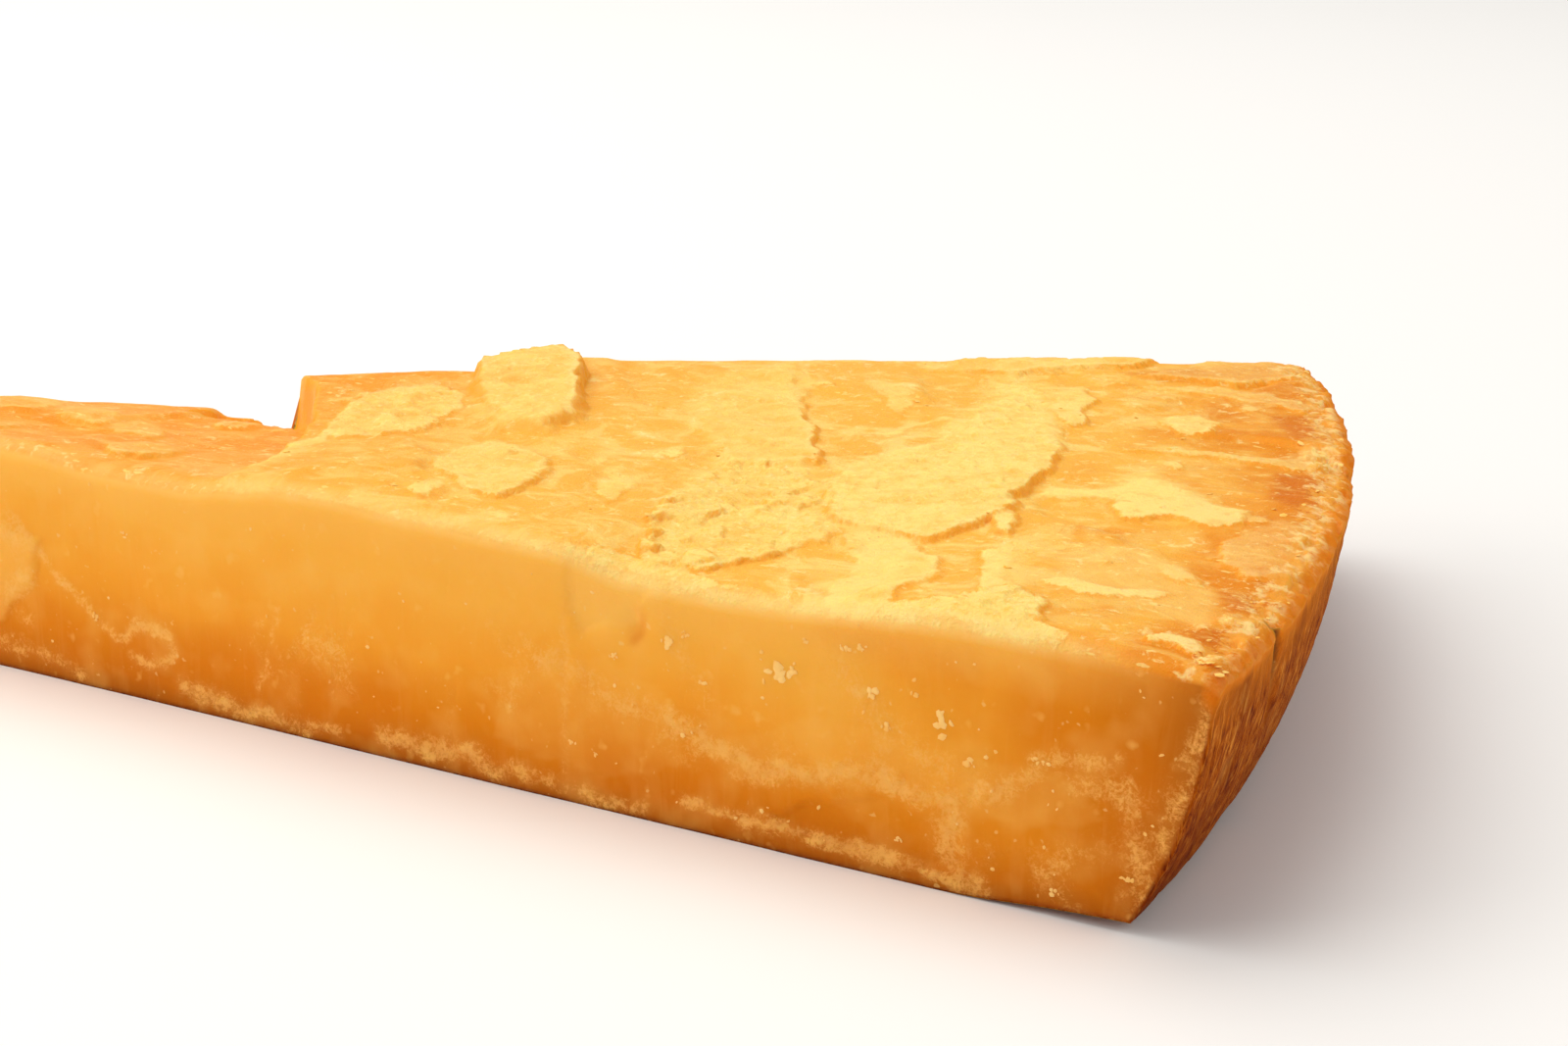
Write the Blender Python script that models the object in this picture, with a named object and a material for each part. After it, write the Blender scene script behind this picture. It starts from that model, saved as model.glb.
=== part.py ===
# A broken wedge of aged hard cheese, split from the lower part of a whole wheel.
# Its point is the wheel's centre, its curved end is the rind of the wheel's side, and it lies on
# the wheel's flat face. The long sides are cut, and the top is a break with slabs and flakes.
# Plan places are in millimetres from the wheel's centre, with X along the front side.

import collections
import math
import random

import bpy
import numpy as np
from mathutils import Vector, noise

MM = 0.001

# Driving dimensions, in millimetres and radians
WHEEL_RADIUS = 220.0
WEDGE_ANGLE = math.radians(31.5)
THICKNESS = 25.2
TIP_RADIUS = 16.0

# The wheel's side leans in towards the floor and meets the flat face in a soft shoulder
SIDE_LEAN = 3.4
SIDE_CURL = 4.4
SHOULDER_START = 200.0
SHOULDER_RISE = 1.1

# The softened edges round the top
EDGE_WIDTH = 2.2
EDGE_DROP = 0.9

# Height of the front's upper edge over the thickness: place along the edge, height
FRONT_EDGE = (
    (16, 0.0), (40, 0.9), (62, 0.6), (84, 0.9), (94, 0.0), (106, -0.1), (113, 0.8), (119, 1.7),
    (125, 1.8), (136, 1.3), (152, 0.8), (161, -0.8), (172, -0.9), (197, 0.7), (220, 0.0),
)
FRONT_EDGE_DEPTH = 24.0

# A curved step crosses the top: the slab on the tip's side of it slopes down to the back
STEP_FRONT = 110.0
STEP_BEND = 0.0115
STEP_WIDTH = 1.6
LOW_SLAB_SLOPE = 0.152

# Broad facets of the break: how many, how steep, how far apart in height, how wavy
FACET_SEED = 11
FACET_COUNT = 34
FACET_TILT = 0.03
FACET_STEP = 0.3
FACET_WAVES = ((4.0, 15.0), (1.2, 4.0))

# Flakes that stand on the break: middle, length, width, turn in degrees, rise,
# and how much more of the rise is at the far end and at the right-hand side
Flake = collections.namedtuple("Flake", "x y length width turn rise far right")
FLAKES = (
    Flake(92, 50, 44, 16, 32, -1.7, 0.0, 0.0),
    Flake(112, 28, 36, 15, 118, 0.8, 0.0, 0.3),
    Flake(117, 47, 40, 12, 127, 2.6, 0.5, 0.4),
    Flake(136, 13, 20, 13, 120, 0.8, 0.0, 0.4),
    Flake(145, 55, 48, 16, 122, 1.0, 0.1, 1.0),
    Flake(162, 21, 40, 15, 106, 0.9, 0.2, 0.6),
    Flake(172, 52, 68, 18, 106, 1.5, -0.2, 0.8),
    Flake(181, 10, 28, 9, 123, 0.6, 0.0, 0.5),
    Flake(193, 17, 34, 5, 115, 0.8, 0.0, -0.4),
    Flake(203, 15, 11, 3.5, 10, 0.6, 0.0, 0.0),
    Flake(196, 43, 22, 9, -25, 1.1, 0.2, 0.6),
    Flake(173, 76, 20, 5, 112, 0.9, 0.0, 0.5),
    Flake(188, 74, 11, 7, 60, 0.8, 0.0, 0.3),
    Flake(197, 67, 20, 6, 15, 0.8, 0.0, 0.5),
    Flake(214, 5.5, 9, 3, -15, 0.6, 0.0, 0.4),
    Flake(217, 12, 12, 5, 100, 0.6, 0.0, 0.0),
    Flake(137, 4, 6, 4, 110, 0.7, 0.0, 0.4),
    Flake(160, 93, 30, 11, 45, 1.2, 0.3, 0.4),
    Flake(183, 101, 22, 12, 30, 1.3, 0.0, 0.3),
)
FLAKE_EDGE = 0.9
FLAKE_OVERLAP = 0.35

# Smaller flakes over the part nearer the point, placed by a seeded rule
TIP_FLAKE_SEED = 5
TIP_FLAKE_COUNT = 12
TIP_FLAKE_REACH = (26.0, 98.0)
TIP_FLAKE_LENGTH = (9.0, 22.0)
TIP_FLAKE_SLIM = (0.35, 0.6)
TIP_FLAKE_TURN = (80.0, 150.0)
TIP_FLAKE_RISE = (0.5, 1.3)

# Flakes and facets fade out towards the front's smooth upper edge
FRONT_CALM = 5.0

# Noise fields, each at its own offset, and how far they carry an outline or a wall over what length
NOISE_FIELDS = ("flake_x", "flake_y", "facet_x", "facet_y", "step", "tip", "front", "back")
NOISE_OFFSET = 17.3
RAGGED = ((1.3, 7.0), (0.6, 2.6))
FRONT_WAVES = ((0.55, 42.0), (0.22, 11.0))
BACK_WAVES = ((1.0, 36.0), (0.5, 12.0))
TIP_WAVES = ((3.2, 11.0), (1.2, 4.5))
WALL_FADE = 5.0
RIND_CALM = 14.0

# Mesh spacing, and the fewest cells across a row of the top and of the floor face
TOP_SPACING = 2.1
WALL_SPACING = 2.6
WALL_ROWS = 8
FLOOR_SPACING = 6.5
LEAST_TOP_CELLS = 4
LEAST_FLOOR_CELLS = 2

# Colour of the paste, linear
PASTE_COLOUR = (0.93, 0.56, 0.16, 1.0)
PASTE_ROUGHNESS = 0.55


def smooth(value):
    """0 below 0, 1 above 1 and a soft S between."""
    value = np.clip(value, 0.0, 1.0)
    return value * value * (3.0 - 2.0 * value)


def waves(x, y, z, octaves, field):
    """Sum of noise octaves, each given as (height, length), from one of the named fields."""
    offset = NOISE_OFFSET * (1 + NOISE_FIELDS.index(field))
    total = np.zeros(len(x))
    for height, length in octaves:
        points = np.stack([x, y, z], 1) / length + offset
        total += height * np.array([noise.noise(Vector(point)) for point in points])
    return total


def side_radius(z):
    """Radius of the wheel's side at a height above the floor."""
    depth = np.clip(1.0 - z / THICKNESS, 0.0, 1.0)
    return WHEEL_RADIUS - SIDE_LEAN * depth - SIDE_CURL * depth**3


def all_flakes():
    """The flakes that are placed by hand, then those of the rule."""
    draw = random.Random(TIP_FLAKE_SEED)
    near, far = TIP_FLAKE_REACH
    ruled = []
    for n in range(TIP_FLAKE_COUNT):
        reach = near + (far - near) * (n + draw.random()) / TIP_FLAKE_COUNT
        angle = WEDGE_ANGLE * draw.uniform(0.2, 0.85)
        length = draw.uniform(*TIP_FLAKE_LENGTH)
        width = length * draw.uniform(*TIP_FLAKE_SLIM)
        turn = draw.uniform(*TIP_FLAKE_TURN)
        rise = draw.uniform(*TIP_FLAKE_RISE)
        middle = (reach * math.cos(angle), reach * math.sin(angle))
        ruled.append(Flake(*middle, length, width, turn, rise, 0.0, 0.5))
    return FLAKES + tuple(ruled)


def flake_relief(x, y):
    """Height that the flakes add, with ragged outlines."""
    ragged_x = x + waves(x, y, 0 * x, RAGGED, "flake_x")
    ragged_y = y + waves(x, y, 0 * x, RAGGED, "flake_y")
    total = np.zeros(len(x))
    for flake in all_flakes():
        sine, cosine = math.sin(math.radians(flake.turn)), math.cos(math.radians(flake.turn))
        away_x, away_y = ragged_x - flake.x, ragged_y - flake.y
        far = (away_x * cosine + away_y * sine) / (flake.length / 2)
        left = (away_y * cosine - away_x * sine) / (flake.width / 2)
        inside = 1.0 - (np.abs(far) ** 3 + np.abs(left) ** 3) ** (1 / 3)
        cover = smooth(inside * flake.width / 2 / FLAKE_EDGE + 0.5)
        lean = (1.0 + flake.far * far) * (1.0 - flake.right * left)
        rise = flake.rise * lean.clip(0.0, 1.5)
        total = total * (1.0 - FLAKE_OVERLAP * cover) + cover * rise
    return total


def facet_relief(x, y):
    """Planes at slightly different tilts, each round its own seeded site."""
    draw = random.Random(FACET_SEED)
    sites = []
    for n in range(FACET_COUNT):
        reach = WHEEL_RADIUS * math.sqrt((n + draw.random()) / FACET_COUNT)
        angle = WEDGE_ANGLE * draw.random()
        tilt = draw.uniform(-FACET_TILT, FACET_TILT), draw.uniform(-FACET_TILT, FACET_TILT)
        step = draw.uniform(-FACET_STEP, FACET_STEP)
        sites.append((reach * math.cos(angle), reach * math.sin(angle), *tilt, step))
    sites = np.array(sites)
    wavy_x = x + waves(x, y, 0 * x, FACET_WAVES, "facet_x")
    wavy_y = y + waves(x, y, 0 * x, FACET_WAVES, "facet_y")
    away = (wavy_x[:, None] - sites[:, 0]) ** 2 + (wavy_y[:, None] - sites[:, 1]) ** 2
    own = sites[away.argmin(1)]
    return (x - own[:, 0]) * own[:, 2] + (y - own[:, 1]) * own[:, 3] + own[:, 4]


def front_edge(x):
    """Height of the front's upper edge over the thickness, eased from point to point."""
    places, heights = np.array(FRONT_EDGE).T
    n = np.clip(np.searchsorted(places, x) - 1, 0, len(places) - 2)
    along = (x - places[n]) / (places[n + 1] - places[n])
    return heights[n] + (heights[n + 1] - heights[n]) * smooth(along)


def to_back(x, y):
    """Distance from the back side."""
    return x * math.sin(WEDGE_ANGLE) - y * math.cos(WEDGE_ANGLE)


def top_height(x, y):
    """Height of the broken top over the floor."""
    ragged = waves(x, y, 0 * x, RAGGED, "step")
    low = smooth((STEP_FRONT - STEP_BEND * y**2 - x + ragged) / STEP_WIDTH + 0.5)
    height = THICKNESS + front_edge(x) * np.exp(-((y / FRONT_EDGE_DEPTH) ** 2))
    height -= low * LOW_SLAB_SLOPE * y
    height += (facet_relief(x, y) + flake_relief(x, y)) * smooth(y / FRONT_CALM)
    # The edges round the top are worn soft
    for distance in (y, to_back(x, y), WHEEL_RADIUS - np.hypot(x, y)):
        height -= EDGE_DROP * (1.0 - np.clip(distance / EDGE_WIDTH, 0.0, 1.0)) ** 2
    return height


def place(s, t, w):
    """Point of the skin: s runs from tip to rind, t from front to back, w from floor to top."""
    s, t, w = (np.atleast_1d(np.asarray(v, float)) for v in (s, t, w))
    s, t, w = np.broadcast_arrays(s, t, w)
    angle = t * WEDGE_ANGLE
    # Height comes from the plan place at the top
    reach = TIP_RADIUS + s * (WHEEL_RADIUS - TIP_RADIUS)
    top = top_height(reach * np.cos(angle), reach * np.sin(angle))
    shoulder = smooth((reach - SHOULDER_START) / (WHEEL_RADIUS - SHOULDER_START)) * SHOULDER_RISE
    z = shoulder + w * (top - shoulder)
    broken = waves(0 * z, TIP_RADIUS * angle, z, TIP_WAVES, "tip") * (1.0 - s) ** 3
    radius = TIP_RADIUS + broken + s * (side_radius(z) - TIP_RADIUS)
    x, y = radius * np.cos(angle), radius * np.sin(angle)
    # The two long walls wave a little, and the waves die out towards the middle
    from_front, from_back = y, to_back(x, y)
    front = waves(x, 0 * x, z, FRONT_WAVES, "front") * np.exp(-((from_front / WALL_FADE) ** 2))
    back = np.abs(waves(x, 0 * x, z, BACK_WAVES, "back")) * np.exp(-((from_back / WALL_FADE) ** 2))
    back *= smooth((WHEEL_RADIUS - radius) / RIND_CALM)
    x += back * math.sin(WEDGE_ANGLE)
    y += front - back * math.cos(WEDGE_ANGLE)
    return np.stack([x, y, z], 1)


class Skin:
    """Points and triangles of the closed surface, built up row by row."""

    def __init__(self):
        self.points = []
        self.triangles = []

    def add(self, points):
        first = len(self.points)
        self.points.extend(points)
        return list(range(first, len(self.points)))

    def strip(self, row_a, row_b, at_a, at_b, flip):
        """Triangles between two rows whose points lie at the given shares of the way."""
        a = b = 0
        while a < len(row_a) - 1 or b < len(row_b) - 1:
            ahead_a = at_a[a + 1] if a < len(row_a) - 1 else math.inf
            ahead_b = at_b[b + 1] if b < len(row_b) - 1 else math.inf
            if ahead_a <= ahead_b:
                face = (row_a[a], row_a[a + 1], row_b[b])
                a += 1
            else:
                face = (row_a[a], row_b[b + 1], row_b[b])
                b += 1
            self.triangles.append(face[::-1] if flip else face)


def share(count):
    """Evenly spaced shares from 0 to 1."""
    return np.linspace(0.0, 1.0, count + 1)


def wall(skin, top_row, top_at, end_a, end_b, shape, cells, flip):
    """A wall under top_row, between two shared corner columns. Returns its lowest row."""
    above, above_at = top_row, top_at
    for n in range(WALL_ROWS - 1, -1, -1):
        at = share(cells)
        middle = shape(at[1:-1], n / WALL_ROWS)
        row = [end_a[n]] + skin.add(middle) + [end_b[n]]
        skin.strip(above, row, above_at, at, flip)
        above, above_at = row, at
    return above


def chunk_skin():
    """The whole closed surface of the chunk."""
    skin = Skin()
    rings = round((WHEEL_RADIUS - TIP_RADIUS) / TOP_SPACING)
    ring_at = share(rings)
    rows, rows_at = [], []
    for s in ring_at:
        reach = TIP_RADIUS + s * (WHEEL_RADIUS - TIP_RADIUS)
        at = share(max(LEAST_TOP_CELLS, round(reach * WEDGE_ANGLE / TOP_SPACING)))
        rows.append(skin.add(place(s, at, 1.0)))
        rows_at.append(at)
    for n in range(rings):
        skin.strip(rows[n], rows[n + 1], rows_at[n], rows_at[n + 1], True)
    heights = share(WALL_ROWS)[:-1]
    corners = {}
    for s in (0, 1):
        for t in (0, 1):
            top_corner = rows[-1 if s else 0][-1 if t else 0]
            corners[s, t] = skin.add(place(s, t, heights)) + [top_corner]
    long_cells = round((WHEEL_RADIUS - TIP_RADIUS) / WALL_SPACING)
    side_cells = round(WHEEL_RADIUS * WEDGE_ANGLE / WALL_SPACING)
    front_top = [row[0] for row in rows]
    back_top = [row[-1] for row in rows]
    front = wall(
        skin, front_top, ring_at, corners[0, 0], corners[1, 0],
        lambda at, w: place(at, 0.0, w), long_cells, True,
    )
    back = wall(
        skin, back_top, ring_at, corners[0, 1], corners[1, 1],
        lambda at, w: place(at, 1.0, w), long_cells, False,
    )
    side = wall(
        skin, rows[-1], rows_at[-1], corners[1, 0], corners[1, 1],
        lambda at, w: place(1.0, at, w), side_cells, True,
    )
    tip = wall(
        skin, rows[0], rows_at[0], corners[0, 0], corners[0, 1],
        lambda at, w: place(0.0, at, w), len(rows[0]) - 1, False,
    )
    # The floor face runs from the tip's lowest row to the side's, between the long walls
    below, below_at = tip, share(len(tip) - 1)
    for n in range(1, long_cells + 1):
        s = n / long_cells
        reach = TIP_RADIUS + s * (WHEEL_RADIUS - TIP_RADIUS)
        if n == long_cells:
            row, at = side, share(side_cells)
        else:
            at = share(max(LEAST_FLOOR_CELLS, round(reach * WEDGE_ANGLE / FLOOR_SPACING)))
            row = [front[n]] + skin.add(place(s, at[1:-1], 0.0)) + [back[n]]
        skin.strip(below, row, below_at, at, False)
        below, below_at = row, at
    return skin


def cheese_material():
    material = bpy.data.materials.new("cheese_paste")
    material.use_nodes = True
    shader = material.node_tree.nodes["Principled BSDF"]
    shader.inputs["Base Color"].default_value = PASTE_COLOUR
    shader.inputs["Roughness"].default_value = PASTE_ROUGHNESS
    shader.inputs["Metallic"].default_value = 0.0
    return material


def make_chunk():
    """The chunk as one object, standing on the floor with the middle of its box over the origin."""
    skin = chunk_skin()
    points = np.array(skin.points)
    low, high = points.min(0), points.max(0)
    points -= ((low[0] + high[0]) / 2, (low[1] + high[1]) / 2, low[2])
    mesh = bpy.data.meshes.new("parmesan_chunk")
    mesh.from_pydata((points * MM).tolist(), [], skin.triangles)
    mesh.validate()
    mesh.materials.append(cheese_material())
    chunk = bpy.data.objects.new("parmesan_chunk", mesh)
    bpy.context.scene.collection.objects.link(chunk)
    return chunk


for old in list(bpy.data.objects):
    bpy.data.objects.remove(old)
make_chunk()
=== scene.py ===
import math
import random

import bmesh
import bpy
import numpy as np
from mathutils import Euler, Matrix, Vector, noise


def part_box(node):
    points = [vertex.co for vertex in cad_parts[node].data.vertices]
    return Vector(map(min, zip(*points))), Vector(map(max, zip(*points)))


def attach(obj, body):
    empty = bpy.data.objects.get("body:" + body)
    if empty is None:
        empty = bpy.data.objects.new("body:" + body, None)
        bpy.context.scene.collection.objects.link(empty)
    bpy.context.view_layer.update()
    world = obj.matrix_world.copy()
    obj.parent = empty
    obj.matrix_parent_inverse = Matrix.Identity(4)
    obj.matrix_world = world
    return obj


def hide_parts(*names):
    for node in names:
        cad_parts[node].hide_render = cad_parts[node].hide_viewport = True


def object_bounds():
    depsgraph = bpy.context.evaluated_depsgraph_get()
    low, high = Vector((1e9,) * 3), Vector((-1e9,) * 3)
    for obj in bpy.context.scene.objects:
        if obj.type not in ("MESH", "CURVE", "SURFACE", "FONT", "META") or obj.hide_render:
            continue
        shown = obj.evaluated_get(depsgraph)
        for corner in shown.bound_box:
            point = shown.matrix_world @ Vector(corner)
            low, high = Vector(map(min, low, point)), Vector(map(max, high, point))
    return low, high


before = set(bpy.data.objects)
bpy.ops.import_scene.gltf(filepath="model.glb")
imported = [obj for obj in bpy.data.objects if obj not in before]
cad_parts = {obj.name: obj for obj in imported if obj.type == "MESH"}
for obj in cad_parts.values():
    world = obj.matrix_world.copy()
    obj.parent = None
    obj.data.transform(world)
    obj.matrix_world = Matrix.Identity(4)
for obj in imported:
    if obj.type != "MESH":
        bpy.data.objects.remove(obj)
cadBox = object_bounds()
print("frame loaded")

mm = 0.001

# Places on the chunk are in millimetres from the wheel's centre: x along the cut front side,
# y to the back, z up from the floor. framePlace turns them into the frame's own metres.
wedge = {
    "radius": 220.0,
    "angle": math.radians(31.5),
    "thickness": 25.2,
    "tipRadius": 16.0,
    "sideLean": 3.4,          # the wheel's side leans in towards the floor
    "sideCurl": 4.4,
    "shoulderStart": 200.0,
    "shoulderRise": 1.1,
    "edgeWidth": 2.2,         # softened edges round the top
    "edgeDrop": 0.9,
}
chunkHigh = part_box("parmesan_chunk")[1]
wheelCentre = Vector((
    chunkHigh.x - wedge["radius"] * mm,
    chunkHigh.y - wedge["radius"] * math.sin(wedge["angle"]) * mm,
    0.0,
))


def framePlace(x, y, z):
    return Vector((x, y, z)) * mm + wheelCentre


def polar(reach, angle):
    return reach * math.cos(angle), reach * math.sin(angle)


def reachAt(s):
    return wedge["tipRadius"] + s * (wedge["radius"] - wedge["tipRadius"])


def turned(middle, ahead, left, turn):
    # the place that far ahead and to the left of a middle that faces the turn
    return (middle[0] + ahead * math.cos(turn) - left * math.sin(turn),
            middle[1] + ahead * math.sin(turn) + left * math.cos(turn))


# ramps and noise

def smooth(value):
    value = np.clip(value, 0.0, 1.0)
    return value * value * (3.0 - 2.0 * value)


noiseFields = ("flakeX", "flakeY", "facetX", "facetY", "step", "tip", "front", "back",
               "grain", "fold", "rind", "dent")
noiseOffset = 17.3


def waves(x, y, z, octaves, field):
    # sum of octaves, each (height, length), from one of the named fields
    offset = noiseOffset * (1 + noiseFields.index(field))
    total = np.zeros(len(x))
    for height, length in octaves:
        points = np.stack([x, y, z], 1) / length + offset
        total += height * np.array([noise.noise(Vector(point)) for point in points])
    return total


def toSegment(x, y, start, end):
    edgeX, edgeY = end[0] - start[0], end[1] - start[1]
    fromX, fromY = x - start[0], y - start[1]
    along = np.clip((fromX * edgeX + fromY * edgeY) / (edgeX**2 + edgeY**2), 0.0, 1.0)
    return np.hypot(fromX - along * edgeX, fromY - along * edgeY)


def insideBy(x, y, outline):
    # distance to a closed outline, positive inside
    nearest = np.full(len(x), np.inf)
    inside = np.zeros(len(x), bool)
    for start, end in zip(outline, outline[1:] + outline[:1]):
        nearest = np.minimum(nearest, toSegment(x, y, start, end))
        if start[1] != end[1]:
            slope = (end[0] - start[0]) / (end[1] - start[1])
            crosses = (start[1] > y) != (end[1] > y)
            inside ^= crosses & (x < start[0] + (y - start[1]) * slope)
    return np.where(inside, nearest, -nearest)


def grains(x, y, size):
    # the broken paste is made of angular grains: the middle of each point's own grain,
    # how far the point is from the grain's border, and a height of the grain's own, -1 to 1
    middles, borders, heights = [], [], []
    for px, py in zip(x / size, y / size):
        away, sites = noise.voronoi(Vector((px, py, 0.5)))
        middles.append(sites[0][:2])
        borders.append(away[1] - away[0])
        heights.append(noise.noise(sites[0] * 7.3))
    middles = np.array(middles) * size
    return middles[:, 0], middles[:, 1], np.array(borders) * size, np.array(heights) * 1.6


def nearOutline(x, y, outline, margin):
    low, high = np.min(outline, 0) - margin, np.max(outline, 0) + margin
    return (x > low[0]) & (x < high[0]) & (y > low[1]) & (y < high[1])


def lineNearness(x, y, path, width):
    # 1 on a broken line, falling off over the given width
    nearest = np.min([toSegment(x, y, start, end) for start, end in zip(path, path[1:])], 0)
    return np.exp(-((nearest / width) ** 2))


def strongest(x, y, lines):
    # the strongest at each point of some broken lines: (path, width, strength)
    most = np.zeros(len(x))
    for path, width, strength in lines:
        most = np.maximum(most, strength * lineNearness(x, y, path, width))
    return most


# the break on top

frontEdge = {
    # height of the front's upper edge over the thickness: (place, height)
    "profile": (
        (16, 0.0), (40, 0.9), (62, 0.6), (84, 0.9), (94, 0.0), (106, -0.1), (113, 0.8), (119, 1.7),
        (125, 1.8), (136, 1.3), (152, 0.8), (161, -0.8), (172, -0.9), (197, 0.7), (220, 0.0),
    ),
    "depth": 24.0,
    "calm": 5.0,              # flakes and facets fade out towards this edge
}

slabStep = {
    "front": 110.0,
    "bend": 0.0115,
    "width": 0.9,
    "slope": 0.152,           # the thinner slab falls away to the back
}

facets = {
    "seed": 11,
    "count": 34,
    "tilt": 0.03,
    "step": 0.3,
    "blend": 0.8,             # width of the creases between them
    "waves": ((4.0, 15.0), (1.2, 4.0)),
}

flakeLook = {
    "ragged": ((1.3, 7.0), (0.6, 2.6), (0.3, 1.0)),
    "grainSizes": (2.6, 1.2),
    "grainPull": (0.18, 0.28),   # how much a flake's edge follows the grains' borders
    "edge": 0.65,             # width of a flake's broken edge
    "fadeEdge": 4.5,          # and of the side where it runs out into the paste
    "overlap": 0.35,
    "grain": 0.20,            # height of the grains
    "crevice": 0.05,          # depth of the gaps between them
    "fold": ((0.16, 6.0), (0.07, 2.2), (0.03, 0.9)),
}


def raised(rise, pale, grain, proud, lean, outline):
    # rise, how pale and how grainy it is, which way its proud side faces (degrees) with
    # how much of the rise is there alone, and its outline
    return dict(rise=rise, pale=pale, grain=grain, proud=proud, lean=lean, outline=outline)


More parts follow.
